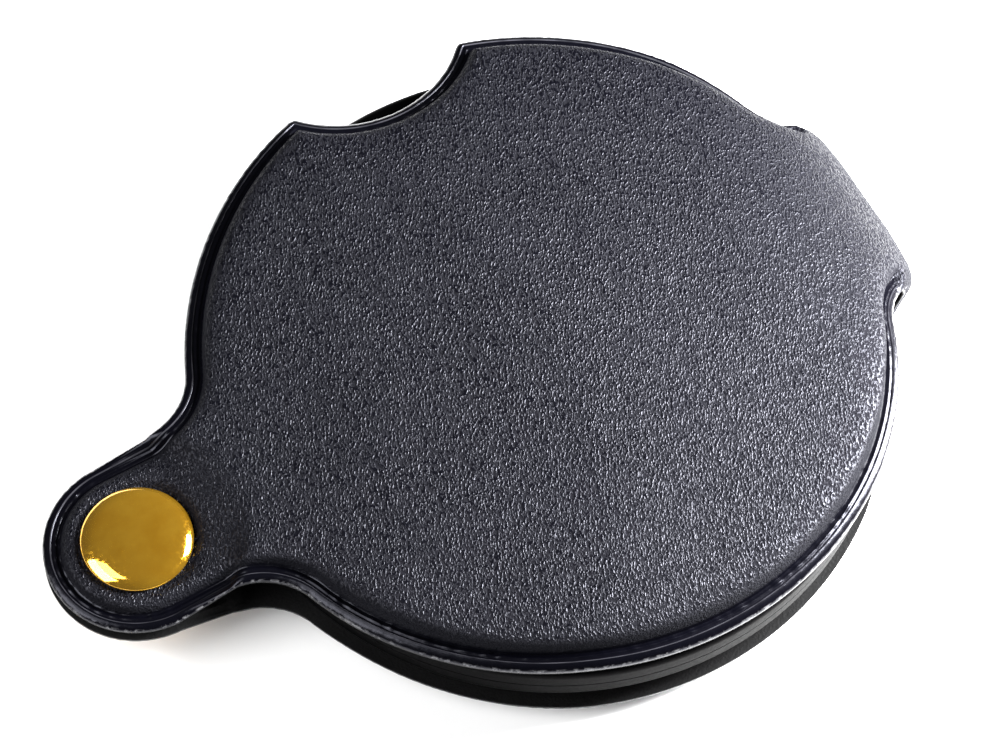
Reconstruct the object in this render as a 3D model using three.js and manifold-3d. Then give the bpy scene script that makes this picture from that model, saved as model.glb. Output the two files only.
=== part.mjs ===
// Folding pocket magnifier: a lens in a plastic frame that swings on a rivet out of a
// leatherette sleeve.  The sleeve is one strip folded over at its far end, so it has an
// upper and a lower leaf, and both of its long sides are open.
//
// Units are millimetres.  +X runs from the rivet to the fold, +Y to the thumb notch, +Z up.
// The origin is the bottom centre of the whole object's box.
import * as THREE from 'three';
import { mergeVertices } from 'three/addons/utils/BufferGeometryUtils.js';
import Module from 'manifold-3d';

const wasm = await Module();
wasm.setup();

// ---------------------------------------------------------------- driving dimensions

// Sleeve outline, seen from above: an ear round the rivet, a neck, a disc and the fold.
const discRadius = 32.6;
const rivetOffset = 41;          // rivet axis to disc centre
const earRadius = 8.35;
const neckFillet = 6.5;
const foldFillet = 6.9;
const foldHalfWidth = 9.4;
const notchRadius = 11.9;
const notchOffset = 39.3;        // disc centre to the centre of the thumb notch
const notchAngle = THREE.MathUtils.degToRad(91.4);
const borderWidth = 1.7;         // flat welded border outside the raised panel

// Sleeve section, measured outwards from the face that looks at the lens.
const liningThickness = 0.33;
const plyClearance = 0.03;       // between one ply and the next
const borderThickness = 0.85;
const panelThickness = 1.55;     // at the rivet
const panelSwell = 0.75;         // how much thicker the padded panel is beyond the neck
const swellStart = 9;            // distances from the rivet axis
const swellEnd = 24;
const skinThickness = 0.52;      // over the padding
const stiffenerThickness = 0.7;
const stiffenerInset = 3.0;      // sleeve edge to the edge of the stiffener and its padding
const stiffenerNeck = 15;        // rivet axis to the stiffener's near edge
const stiffenerFoldGap = 1;      // stiffener's far edge to the start of the fold
const pocketMargin = 0.2;        // the welded pocket is this much larger than what it holds

// Fold: a half ellipse that joins the two leaves.
const foldStart = 20;            // disc centre to where the leaves start to curve
const foldInnerDepth = 13.4;

// Half height of the gap between the leaves, against the distance from the rivet axis.
// The rivet clamps the leaves almost flat; past it they open steeply to clear the ring,
// then gently over the lens.
const gapStations = [
  [0, 0.68],
  [5, 1.0],
  [9.5, 2.55],
  [20, 2.7],
  [30, 3.4],
  [42, 4.4],
];
const gapMax = 4.4;
const earEnd = 10.5;             // past this the gap depends only on the distance
const leafRings = [5, 8.4, 9.5, 10.5, 12, 16, 20, 25, 30, 36, 42];

// Lens and its frame.
const closedAngle = THREE.MathUtils.degToRad(-1.5); // the closed lens sits a little proud
const frameRadius = 31.2;
const frameHalfHeight = 2.4;
const frameEdgeRound = 1.0;
const apertureRadius = 25;
const lensRadius = 25.9;
const lensEdgeHalf = 0.75;
const lensCurvature = 140;       // radius of each face
const seatHalf = 1.0;            // lens mid plane to the seat, and to the retaining ring
const apertureChamfer = 0.8;
const apertureChamferHeight = 0.4;
const retainerRadius = 27.3;
const retainerPlay = 0.05;       // under the retaining ring
const retainerSink = 0.1;        // its face below the ring's face
const runningGap = 0.2;
const armHalfThickness = 0.6;
const armRadius = 4.6;           // tab round the rivet
const armTaperStart = 8.6;       // from here to the ring the arm gets thicker
const armTaperEnd = 11.6;
const armRootHalfThickness = 2;
const armRootHalfWidth = 7.5;
const armRootLap = 3;            // how far the arm reaches into the ring

// Rivet.
const capRadius = 5;
const capHeight = 1.15;
const capShell = 0.3;
const capRim = 0.45;             // height of the rolled edge
const capRimFlat = 0.1;
const capFullness = 0.8;         // 1 is a half ellipse, less is a flatter dome
const capSink = 0.25;            // how far the cap presses into the panel
const flangeRadius = 4.1;
const flangeThickness = 0.3;
const postRadius = 1.2;
const tubeBore = 1.45;
const tubeRadius = 1.9;
const rivetHole = 2.25;

// ---------------------------------------------------------------- derived places

const panelFull = panelThickness + panelSwell;
const leafBottom = gapMax + panelFull;            // mid plane to the resting face
const foldNose = foldStart + foldInnerDepth + panelFull;
const notchHalfAngle = Math.acos(
  (discRadius ** 2 + notchOffset ** 2 - notchRadius ** 2) / (2 * discRadius * notchOffset),
);
const notchX = rivetOffset + notchOffset * Math.cos(notchAngle);
const notchY = notchOffset * Math.sin(notchAngle);
const notchCornerY = discRadius * Math.sin(notchAngle - notchHalfAngle);

const disc = new THREE.Vector3(
  (rivetOffset + earRadius - foldNose) / 2,
  (discRadius - notchCornerY) / 2,
  leafBottom,
);
const rivet = new THREE.Vector3(disc.x - rivetOffset, disc.y, disc.z);

const cutHeight = 40;            // taller than the whole object
const cutReach = 100;            // wider than the whole object

// ---------------------------------------------------------------- mesh helpers

function toSolid(geometry) {
  const bare = geometry.clone();
  bare.deleteAttribute('normal');
  bare.deleteAttribute('uv');
  const merged = mergeVertices(bare, 1e-5);
  return new wasm.Manifold(new wasm.Mesh({
    numProp: 3,
    vertProperties: new Float32Array(merged.attributes.position.array),
    triVerts: new Uint32Array(merged.index.array),
  }));
}

function toGeometry(solid) {
  const mesh = solid.getMesh();
  const geometry = new THREE.BufferGeometry();
  geometry.setAttribute('position', new THREE.BufferAttribute(mesh.vertProperties, 3));
  geometry.setIndex(new THREE.BufferAttribute(mesh.triVerts, 1));
  return geometry;
}

function lerp(a, b, t) {
  return a + (b - a) * t;
}

function smooth(low, high, value) {
  const t = THREE.MathUtils.clamp((value - low) / (high - low), 0, 1);
  return t * t * (3 - 2 * t);
}

// A vertical prism over a shape, through the whole height of the object.
function prism(shape, curveSegments = 12) {
  const geometry = new THREE.ExtrudeGeometry(shape, {
    depth: cutHeight,
    bevelEnabled: false,
    curveSegments,
  });
  geometry.translate(0, 0, -cutHeight / 2);
  return toSolid(geometry);
}

function cylinder(x, y, radius, segments = 64) {
  const geometry = new THREE.CylinderGeometry(radius, radius, cutHeight, segments);
  geometry.rotateX(Math.PI / 2);
  geometry.translate(x, y, 0);
  return toSolid(geometry);
}

// A closed solid turned about the vertical axis, from a profile of [radius, height].
function turned(profile, segments) {
  const points = profile.map(([radius, height]) => new THREE.Vector2(radius, height));
  const geometry = new THREE.LatheGeometry(points, segments);
  geometry.rotateX(Math.PI / 2);
  return geometry;
}

// The solids below are built about the rivet axis and the mid plane of the gap; the
// lower leaf is the upper one turned over.
function mirrored(solid) {
  return solid.mirror([0, 0, 1]);
}

// ---------------------------------------------------------------- sleeve outline

// The sleeve's outline pulled in by an inset.  Every corner is an arc, so the inset
// outline has the same arcs with other radii.
function sleeveOutline(inset) {
  const radius = discRadius - inset;
  const ear = earRadius - inset;
  const fold = foldHalfWidth - inset;
  const neckY = earRadius + neckFillet;
  const neckX = rivetOffset - Math.sqrt((discRadius + neckFillet) ** 2 - neckY ** 2);
  const flareY = foldHalfWidth + foldFillet;
  const flareX = rivetOffset + Math.sqrt((discRadius + foldFillet) ** 2 - flareY ** 2);
  const neckAngle = Math.atan2(neckY, neckX - rivetOffset);
  const flareAngle = Math.atan2(flareY, flareX - rivetOffset);
  const end = rivetOffset + cutReach;
  const quarter = Math.PI / 2;
  const shape = new THREE.Shape();
  shape.moveTo(end, -fold);
  shape.lineTo(end, fold);
  shape.lineTo(flareX, fold);
  shape.absarc(flareX, flareY, foldFillet + inset, -quarter, flareAngle - Math.PI, true);
  shape.absarc(rivetOffset, 0, radius, flareAngle, neckAngle, false);
  shape.absarc(neckX, neckY, neckFillet + inset, neckAngle - Math.PI, -quarter, true);
  shape.absarc(0, 0, ear, quarter, 3 * quarter, false);
  shape.absarc(neckX, -neckY, neckFillet + inset, quarter, Math.PI - neckAngle, true);
  shape.absarc(rivetOffset, 0, radius, -neckAngle, -flareAngle, false);
  shape.absarc(flareX, -flareY, foldFillet + inset, Math.PI - flareAngle, quarter, true);
  shape.lineTo(end, -fold);
  return shape;
}

function sleevePrism(inset) {
  const notch = cylinder(notchX, notchY, notchRadius + inset, 36);
  return prism(sleeveOutline(inset)).subtract(notch);
}

// ---------------------------------------------------------------- sleeve surfaces

function gapAt(distance) {
  const next = gapStations.findIndex(([station]) => station > distance);
  if (next < 0) {
    return gapMax;
  }
  if (next === 0) {
    return gapStations[0][1];
  }
  const [x0, z0] = gapStations[next - 1];
  const [x1, z1] = gapStations[next];
  return lerp(z0, z1, (distance - x0) / (x1 - x0));
}

// Half height of the gap at a point.  Past the ear it depends only on the distance from
// the rivet axis, so the frame clears the leaves all the way round its swing.
function gapHeight(radius, angle) {
  const along = radius * Math.cos(angle);
  return gapAt(lerp(along, radius, smooth(earRadius, earEnd, radius)));
}

// Levels are heights above the gap, against the distance from the rivet axis.
function flat(height) {
  return () => height;
}

function swelling(height) {
  return (radius) => height + panelSwell * smooth(swellStart, swellEnd, radius);
}

// One leaf's ply between two levels, as a plate over the whole plane.
function leafPly(levelIn, levelOut) {
  const radii = [...leafRings, cutReach];
  const segments = 36;
  const positions = [];
  const index = [];
  for (const level of [levelIn, levelOut]) {
    positions.push(0, 0, gapHeight(0, 0) + level(0));
    for (const radius of radii) {
      for (let k = 0; k < segments; k += 1) {
        const angle = (2 * Math.PI * k) / segments;
        const height = gapHeight(radius, angle) + level(radius);
        positions.push(radius * Math.cos(angle), radius * Math.sin(angle), height);
      }
    }
  }
  const top = 1 + radii.length * segments;
  const at = (ring, k) => 1 + ring * segments + (k % segments);
  const last = radii.length - 1;
  for (let k = 0; k < segments; k += 1) {
    index.push(top, top + at(0, k), top + at(0, k + 1));
    index.push(0, at(0, k + 1), at(0, k));
    for (let ring = 0; ring < last; ring += 1) {
      const [a, b] = [at(ring, k), at(ring, k + 1)];
      const [c, d] = [at(ring + 1, k), at(ring + 1, k + 1)];
      index.push(top + a, top + c, top + d, top + a, top + d, top + b);
      index.push(a, d, c, a, b, d);
    }
    const [e, f] = [at(last, k), at(last, k + 1)];
    index.push(e, f, top + f, e, top + f, top + e);
  }
  const geometry = new THREE.BufferGeometry();
  geometry.setAttribute('position', new THREE.Float32BufferAttribute(positions, 3));
  geometry.setIndex(index);
  return toSolid(geometry);
}

// The same ply round the fold: the space between two half ellipses, drawn out along Y.
function foldPly(levelIn, levelOut) {
  const start = rivetOffset + foldStart;
  const lap = 1;
  const shape = new THREE.Shape();
  const quarter = Math.PI / 2;
  const [heightIn, heightOut] = [levelIn(cutReach), levelOut(cutReach)];
  const [outX, outZ] = [foldInnerDepth + heightOut, gapMax + heightOut];
  const [inX, inZ] = [foldInnerDepth + heightIn, gapMax + heightIn];
  shape.moveTo(start - lap, -outZ);
  shape.absellipse(start, 0, outX, outZ, -quarter, quarter, false, 0);
  shape.lineTo(start - lap, outZ);
  shape.lineTo(start - lap, inZ);
  shape.absellipse(start, 0, inX, inZ, quarter, -quarter, true, 0);
  shape.lineTo(start - lap, -inZ);
  const geometry = new THREE.ExtrudeGeometry(shape, {
    depth: cutReach,
    bevelEnabled: false,
    curveSegments: 12,
  });
  geometry.translate(0, 0, -cutReach / 2);
  geometry.rotateX(Math.PI / 2);
  return toSolid(geometry);
}

// Both leaves and the fold in one ply.
function sleevePly(levelIn, levelOut) {
  const beforeFold = toSolid(
    new THREE.BoxGeometry(cutReach, 2 * cutReach, cutHeight).translate(
      rivetOffset + foldStart - cutReach / 2, 0, 0,
    ),
  );
  const leaf = leafPly(levelIn, levelOut).intersect(beforeFold);
  return leaf.add(mirrored(leaf)).add(foldPly(levelIn, levelOut));
}

// ---------------------------------------------------------------- sleeve plies

const holes = cylinder(0, 0, rivetHole, 40);

function makeLining() {
  const ply = sleevePly(flat(0), flat(liningThickness));
  return ply.intersect(sleevePrism(0)).subtract(holes);
}

// Plan of a stiffener and its padding, grown by a margin: a disc with the notch, the neck
// and the fold cut away.
function stiffenerPrism(margin) {
  const plate = cylinder(rivetOffset, 0, discRadius - stiffenerInset + margin, 48);
  const notch = cylinder(notchX, notchY, notchRadius + stiffenerInset - margin, 36);
  const neck = cylinder(0, 0, stiffenerNeck - margin, 36);
  const fold = toSolid(
    new THREE.BoxGeometry(cutReach, cutReach, cutHeight).translate(
      rivetOffset + foldStart - stiffenerFoldGap + margin + cutReach / 2, 0, 0,
    ),
  );
  return plate.subtract(notch).subtract(neck).subtract(fold);
}

const stiffenerIn = liningThickness + plyClearance;
const stiffenerOut = stiffenerIn + stiffenerThickness;
const pocketOut = panelThickness - skinThickness;

function makeStiffener() {
  return leafPly(flat(stiffenerIn), flat(stiffenerOut)).intersect(stiffenerPrism(0));
}

function makePadding() {
  const ply = leafPly(flat(stiffenerOut + plyClearance), swelling(pocketOut - plyClearance));
  return ply.intersect(stiffenerPrism(0));
}

function makeSkin() {
  const skinIn = flat(liningThickness + plyClearance);
  const border = sleevePly(skinIn, flat(borderThickness)).intersect(sleevePrism(0));
  const panel = sleevePly(skinIn, swelling(panelThickness));
  const pocket = leafPly(flat(0), swelling(pocketOut)).intersect(stiffenerPrism(pocketMargin));
  const seatHeight = gapAt(0) + panelThickness - capSink;
  const seat = turned(
    [
      [0, seatHeight],
      [capRadius + runningGap, seatHeight],
      [capRadius + runningGap, cutHeight / 2],
      [0, cutHeight / 2],
    ],
    40,
  );
  const seats = toSolid(seat);
  return border
    .add(panel.intersect(sleevePrism(borderWidth)))
    .subtract(pocket)
    .subtract(mirrored(pocket))
    .subtract(seats)
    .subtract(mirrored(seats))
    .subtract(holes);
}

// ---------------------------------------------------------------- rivet

// Height above the mid plane at which a cap's rim sits.
const capBase = gapAt(0) + panelThickness - capSink;

// A sheet-metal cap: a shallow dome with a turned-down rim, open underneath.
function makeCap() {
  const domeSteps = 5;
  const outside = [];
  const inside = [];
  for (let k = 0; k <= domeSteps; k += 1) {
    const angle = (Math.PI / 2) * (k / domeSteps);
    const across = Math.sin(angle);
    const up = Math.cos(angle) ** capFullness;
    outside.push([capRadius * across, capBase + capRim + (capHeight - capRim) * up]);
    const inner = capRadius - capShell;
    inside.push([inner * across, capBase + capRim + (capHeight - capShell - capRim) * up]);
  }
  const rim = [
    [capRadius - capRimFlat, capBase],
    [capRadius - capShell, capBase],
  ];
  return turned([...outside, ...rim, ...inside.reverse()].reverse(), 36);
}

// The post hangs from a flange under the upper cap and is pressed into the tube.
function makePost() {
  const flangeBottom = capBase + runningGap / 2;
  const flangeTop = flangeBottom + flangeThickness;
  const postEnd = -capBase + flangeThickness + runningGap;
  return turned(
    [
      [0, postEnd],
      [postRadius, postEnd],
      [postRadius, flangeBottom],
      [flangeRadius, flangeBottom],
      [flangeRadius, flangeTop],
      [0, flangeTop],
    ],
    40,
  );
}

// The tube stands on the lower flange and is what the frame turns on.
function makeTube() {
  const flangeBottom = -capBase - runningGap / 2 - flangeThickness;
  const flangeTop = flangeBottom + flangeThickness;
  return turned(
    [
      [0, flangeBottom],
      [flangeRadius, flangeBottom],
      [flangeRadius, flangeTop],
      [tubeRadius, flangeTop],
      [tubeRadius, capBase],
      [tubeBore, capBase],
      [tubeBore, flangeTop],
      [0, flangeTop],
    ],
    40,
  );
}

// ---------------------------------------------------------------- lens and frame

function lensFaceHeight(radius) {
  const sag = (r) => lensCurvature - Math.sqrt(lensCurvature ** 2 - r ** 2);
  return lensEdgeHalf + sag(lensRadius) - sag(radius);
}

function makeLens() {
  const steps = 5;
  const upper = [];
  for (let k = 0; k <= steps; k += 1) {
    const radius = (lensRadius * k) / steps;
    upper.push([radius, lensFaceHeight(radius)]);
  }
  const lower = upper.map(([radius, height]) => [radius, -height]);
  const profile = [...lower, ...upper.reverse()];
  return turned(profile, 48).translate(rivetOffset, 0, 0);
}

// Section of the ring: rounded outside, a seat under the lens and a recess above it for
// the retaining ring.
function makeRing() {
  const corner = [];
  const steps = 3;
  for (let k = 0; k <= steps; k += 1) {
    const angle = (Math.PI / 2) * (k / steps);
    corner.push([
      frameRadius - frameEdgeRound + frameEdgeRound * Math.sin(angle),
      frameHalfHeight - frameEdgeRound + frameEdgeRound * Math.cos(angle),
    ]);
  }
  const under = corner.map(([radius, height]) => [radius, -height]);
  corner.reverse();
  const profile = [
    [retainerRadius, frameHalfHeight],
    [retainerRadius, seatHalf],
    [lensRadius + runningGap, seatHalf],
    [lensRadius + runningGap, -seatHalf],
    [apertureRadius, -seatHalf],
    [apertureRadius, apertureChamferHeight - frameHalfHeight],
    [apertureRadius + apertureChamfer, -frameHalfHeight],
    ...under,
    ...corner,
    [retainerRadius, frameHalfHeight],
  ];
  return turned(profile, 72).translate(rivetOffset, 0, 0);
}

function makeRetainer() {
  const outer = retainerRadius - runningGap;
  const bottom = seatHalf + retainerPlay;
  const top = frameHalfHeight - retainerSink;
  const profile = [
    [apertureRadius, bottom],
    [outer, bottom],
    [outer, top],
    [apertureRadius + apertureChamfer, top],
    [apertureRadius, top - apertureChamferHeight],
    [apertureRadius, bottom],
  ];
  return turned(profile, 72).translate(rivetOffset, 0, 0);
}

// The arm: a thin tab round the rivet that gets thicker towards the ring.
function makeArm() {
  const root = rivetOffset - frameRadius + armRootLap;
  const corner = Math.hypot(root, armRootHalfWidth);
  const tangent = Math.atan2(armRootHalfWidth, root) + Math.acos(armRadius / corner);
  const plan = new THREE.Shape();
  plan.moveTo(root, -armRootHalfWidth);
  plan.lineTo(root, armRootHalfWidth);
  plan.absarc(0, 0, armRadius, tangent, 2 * Math.PI - tangent, false);
  const wedge = turned(
    [
      [0, -armHalfThickness],
      [armTaperStart, -armHalfThickness],
      [armTaperEnd, -armRootHalfThickness],
      [rivetOffset, -armRootHalfThickness],
      [rivetOffset, armRootHalfThickness],
      [armTaperEnd, armRootHalfThickness],
      [armTaperStart, armHalfThickness],
      [0, armHalfThickness],
    ],
    72,
  );
  const ringCore = cylinder(rivetOffset, 0, frameRadius - armRootLap / 2, 96);
  return toSolid(wedge).intersect(prism(plan)).subtract(ringCore);
}

function makeFrame() {
  const bore = cylinder(0, 0, rivetHole, 40);
  return toSolid(makeRing()).add(makeArm()).subtract(bore);
}

// ---------------------------------------------------------------- assembly

const magnifier = new THREE.Group();
magnifier.name = 'folding_magnifier';

function addPiece(name, shape, color, metalness, roughness, turn = 0) {
  const geometry = shape.isBufferGeometry ? toGeometry(toSolid(shape)) : toGeometry(shape);
  geometry.rotateZ(turn);
  geometry.translate(rivet.x, rivet.y, rivet.z);
  geometry.computeVertexNormals();
  const material = new THREE.MeshStandardMaterial({ color, metalness, roughness });
  const mesh = new THREE.Mesh(geometry, material);
  mesh.name = name;
  magnifier.add(mesh);
}

addPiece('sleeve_skin', makeSkin(), 0x1c1d24, 0, 0.55);
addPiece('sleeve_lining', makeLining(), 0x0a0a0b, 0, 0.8);
addPiece('upper_stiffener', makeStiffener(), 0x8a7a62, 0, 0.9);
addPiece('lower_stiffener', mirrored(makeStiffener()), 0x8a7a62, 0, 0.9);
addPiece('upper_padding', makePadding(), 0x3c3c40, 0, 0.95);
addPiece('lower_padding', mirrored(makePadding()), 0x3c3c40, 0, 0.95);
addPiece('rivet_upper_cap', makeCap(), 0xc9a24a, 1, 0.2);
addPiece('rivet_post', makePost(), 0xc9a24a, 1, 0.35);
addPiece('rivet_lower_cap', mirrored(toSolid(makeCap())), 0xc9a24a, 1, 0.2);
addPiece('rivet_tube', makeTube(), 0xc9a24a, 1, 0.35);
addPiece('lens_frame', makeFrame(), 0x17171a, 0, 0.25, closedAngle);
addPiece('lens_retaining_ring', makeRetainer(), 0x17171a, 0, 0.3, closedAngle);
addPiece('lens', makeLens(), 0xdfeaf0, 0, 0.03, closedAngle);

export default magnifier;
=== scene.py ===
"""Looks of the folding pocket magnifier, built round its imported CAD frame.

The sleeve is one strip of leatherette folded over at its far end.  Its pattern is drawn
flat, meshed flat, and then bent: (along, across) in the pattern goes to a place on the
upper leaf or round the fold, and the lower half is the upper half turned over.

Lengths below are millimetres, counted from the rivet axis and the mid plane of the
sleeve; MM takes them to metres, and the frame says where the rivet axis is.
"""
import math

import bmesh
import bpy
import numpy as np
from mathutils import Matrix, Vector
from mathutils.geometry import delaunay_2d_cdt
from mathutils.kdtree import KDTree


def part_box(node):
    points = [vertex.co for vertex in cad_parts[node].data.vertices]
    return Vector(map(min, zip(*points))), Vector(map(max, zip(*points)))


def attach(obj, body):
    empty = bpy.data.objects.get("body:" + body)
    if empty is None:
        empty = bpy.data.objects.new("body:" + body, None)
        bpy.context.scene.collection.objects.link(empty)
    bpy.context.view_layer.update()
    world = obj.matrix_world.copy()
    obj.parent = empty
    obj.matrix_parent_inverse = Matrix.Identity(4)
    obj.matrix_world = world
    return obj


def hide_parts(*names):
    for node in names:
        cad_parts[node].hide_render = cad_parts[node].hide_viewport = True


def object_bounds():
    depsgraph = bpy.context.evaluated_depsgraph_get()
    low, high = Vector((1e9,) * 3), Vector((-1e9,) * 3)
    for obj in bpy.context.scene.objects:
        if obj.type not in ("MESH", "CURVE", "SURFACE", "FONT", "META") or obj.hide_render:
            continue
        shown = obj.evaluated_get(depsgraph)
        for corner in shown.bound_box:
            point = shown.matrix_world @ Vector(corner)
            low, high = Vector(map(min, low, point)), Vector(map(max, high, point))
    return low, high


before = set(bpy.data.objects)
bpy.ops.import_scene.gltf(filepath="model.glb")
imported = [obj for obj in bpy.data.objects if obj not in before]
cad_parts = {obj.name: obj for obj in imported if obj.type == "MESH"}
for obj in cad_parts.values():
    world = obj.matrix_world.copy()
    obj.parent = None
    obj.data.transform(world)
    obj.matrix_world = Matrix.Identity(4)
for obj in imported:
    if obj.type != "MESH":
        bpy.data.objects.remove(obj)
cad_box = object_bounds()

MM = 0.001

# ------------------------------------------------------------------ places in the frame


def middle(node):
    low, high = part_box(node)
    return (low + high) / 2


CAP = middle("rivet_upper_cap")
LENS = middle("lens")
MID_Z = middle("sleeve_skin").z
RIVET = Vector((CAP.x, CAP.y, MID_Z))
CLOSED_ANGLE = math.atan2(LENS.y - RIVET.y, LENS.x - RIVET.x)

# ------------------------------------------------------------------ driving dimensions

RIVET_OFFSET = 41.0       # rivet axis to the middle of the disc
DISC_RADIUS = 32.6
EAR_RADIUS = 8.35
NECK_FILLET = 6.5
FLARE_FILLET = 6.9
FOLD_HALF_WIDTH = 9.4
NOTCH_RADIUS = 11.9
NOTCH_OFFSET = 39.3
NOTCH_ANGLE = math.radians(91.4)
NOTCH_CORNER = 0.9
RIVET_HOLE = 2.25

# Half height of the space between the leaves against the distance from the rivet.
GAP_AT_RIVET = 0.68
GAP_MAX = 4.4
GAP_STATIONS = ((0, GAP_AT_RIVET), (5, 1.0), (9.5, 2.55), (20, 2.7), (30, 3.4), (42, GAP_MAX))
GAP_ROUNDING = 1.2        # the stations are averaged over this far to each side
EAR_END = 10.5            # the gap follows the distance from the rivet alone past here
FOLD_START = RIVET_OFFSET + 20.0
FOLD_DEPTH = 13.4
FOLD_NEUTRAL = 0.85       # level whose length stays the same round the fold

LINING = 0.33
SEAM = 0.03
SKIN_THICKNESS = 0.5
PANEL_AT_RIVET = 1.55
PANEL_SWELL = 0.75
SWELL_START, SWELL_END = 9.0, 24.0
CAP_RADIUS = 5.0
CAP_SINK = 0.25           # how far the cap presses into the panel
CAP_BASE = GAP_AT_RIVET + PANEL_AT_RIVET - CAP_SINK

# The skin's outer face above the lining's inner face, against the distance from the cut
# edge: a bead, a crease, a lower ridge and a groove at the foot of the padded panel.
BORDER = (
    (0.00, 0.36),
    (0.04, 0.47),
    (0.12, 0.57),
    (0.26, 0.66),
    (0.44, 0.72),
    (0.58, 0.745),
    (0.66, 0.745),
    (0.73, 0.66),
    (0.82, 0.625),
    (0.94, 0.64),
    (1.04, 0.69),
    (1.11, 0.69),
    (1.20, 0.63),
    (1.32, 0.57),
    (1.43, 0.56),
    (1.50, 0.60),
)
# How much of the panel's rise above the groove is reached at each distance.
SHOULDER = (
    (1.46, 0.00),
    (1.55, 0.07),
    (1.66, 0.24),
    (1.78, 0.46),
    (1.90, 0.64),
    (2.06, 0.77),
    (2.30, 0.86),
    (2.70, 0.925),
    (3.40, 0.97),
    (4.40, 0.99),
    (6.00, 1.00),
)
# Past the end of the weld the strip goes round the fold with a plain rounded edge.
PLAIN_EDGE = (
    (0.00, 0.45),
    (0.08, 0.72),
    (0.26, 1.05),
    (0.58, 1.42),
    (1.04, 1.72),
    (2.06, 2.02),
    (4.40, 2.20),
    (6.00, 2.28),
)
WELD_END = 3.0            # from the middle of the fold
WELD_FADE = 0.5
EDGE_DROOP = 0.3          # the free border leans towards the other leaf
DROOP_WIDTH = 1.6
DROOP_START, DROOP_FULL = 12, 24  # from the rivet

# Levels of the faces that touch inside the sleeve, against the distance from the cut edge.
SKIN_UNDERSIDE = ((0, 0.16), (0.5, 0.26), (1.6, LINING + SEAM))
LINING_OUTSIDE = ((0, 0.13), (0.5, 0.23), (1.6, LINING))
LINING_INSIDE = ((0, 0.04), (0.06, 0.01), (0.2, 0.0))

HOLE_SIDES = 48
HOLE_CLEAR = 0.3          # loose mesh points stay this far from the hole,
RING_CLEAR = 0.25         # from the rings round the cap
MIDDLE_CLEAR = 0.2        # and from the middle of the fold
RING_STEP = 0.3
ON_MIDDLE = 1e-4          # how near the middle of the fold counts as on it
HAIR = 0.02               # a length too short to see

# ------------------------------------------------------------------ shape of the sleeve


def smooth(low, high, value):
    t = np.clip((value - low) / (high - low), 0.0, 1.0)
    return t * t * (3.0 - 2.0 * t)


def gap(x, y):
    """Half height of the space between the leaves over a point."""
    radius = np.hypot(x, y)
    mix = smooth(EAR_RADIUS, EAR_END, radius)
    along = x * (1.0 - mix) + radius * mix
    stations, heights = zip(*GAP_STATIONS)
    window = np.linspace(-GAP_ROUNDING, GAP_ROUNDING, 9)
    return np.mean([np.interp(along + w, stations, heights) for w in window], axis=0)


_turn = np.linspace(0.0, math.pi / 2, 400)
_arc_x = (FOLD_DEPTH + FOLD_NEUTRAL) * np.sin(_turn)
_arc_z = (GAP_MAX + FOLD_NEUTRAL) * np.cos(_turn)
_arc_length = np.concatenate([[0.0], np.cumsum(np.hypot(np.diff(_arc_x), np.diff(_arc_z)))])
FOLD_MIDDLE = FOLD_START + _arc_length[-1]


def along_from_x(x):
    """Length along the pattern for a place seen from above."""
    round_fold = FOLD_START + np.interp(x - FOLD_START, _arc_x, _arc_length)
    return np.where(x <= FOLD_START, x, round_fold)


def fold_share(along):
    """0 on the leaves and 1 past the end of the weld, where the strip is plain."""
    return smooth(FOLD_MIDDLE - WELD_END - WELD_FADE, FOLD_MIDDLE - WELD_END, along)


def circle(radius, count):
    """Points evenly round a circle about the rivet."""
    angles = np.linspace(0, 2 * math.pi, count, endpoint=False)
    return radius * np.stack([np.cos(angles), np.sin(angles)], axis=1)


def bend(along, across, level):
    """Pattern place and height above the lining's inner face to a place in space."""
    turn = np.interp(along - FOLD_START, _arc_length, _turn)
    round_x = FOLD_START + (FOLD_DEPTH + level) * np.sin(turn)
    round_z = (GAP_MAX + level) * np.cos(turn)
    folded = along > FOLD_START
    x = np.where(folded, round_x, along)
    z = np.where(folded, round_z, gap(along, across) + level)
    return np.stack([x, across, z], axis=-1)


def arc(cx, cy, radius, start, end, step):
    """Points along an arc, without its last one."""
    count = max(2, int(math.ceil(abs(end - start) * radius / step)))
    angles = np.linspace(start, end, count, endpoint=False)
    return np.stack([cx + radius * np.cos(angles), cy + radius * np.sin(angles)], axis=1)


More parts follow.
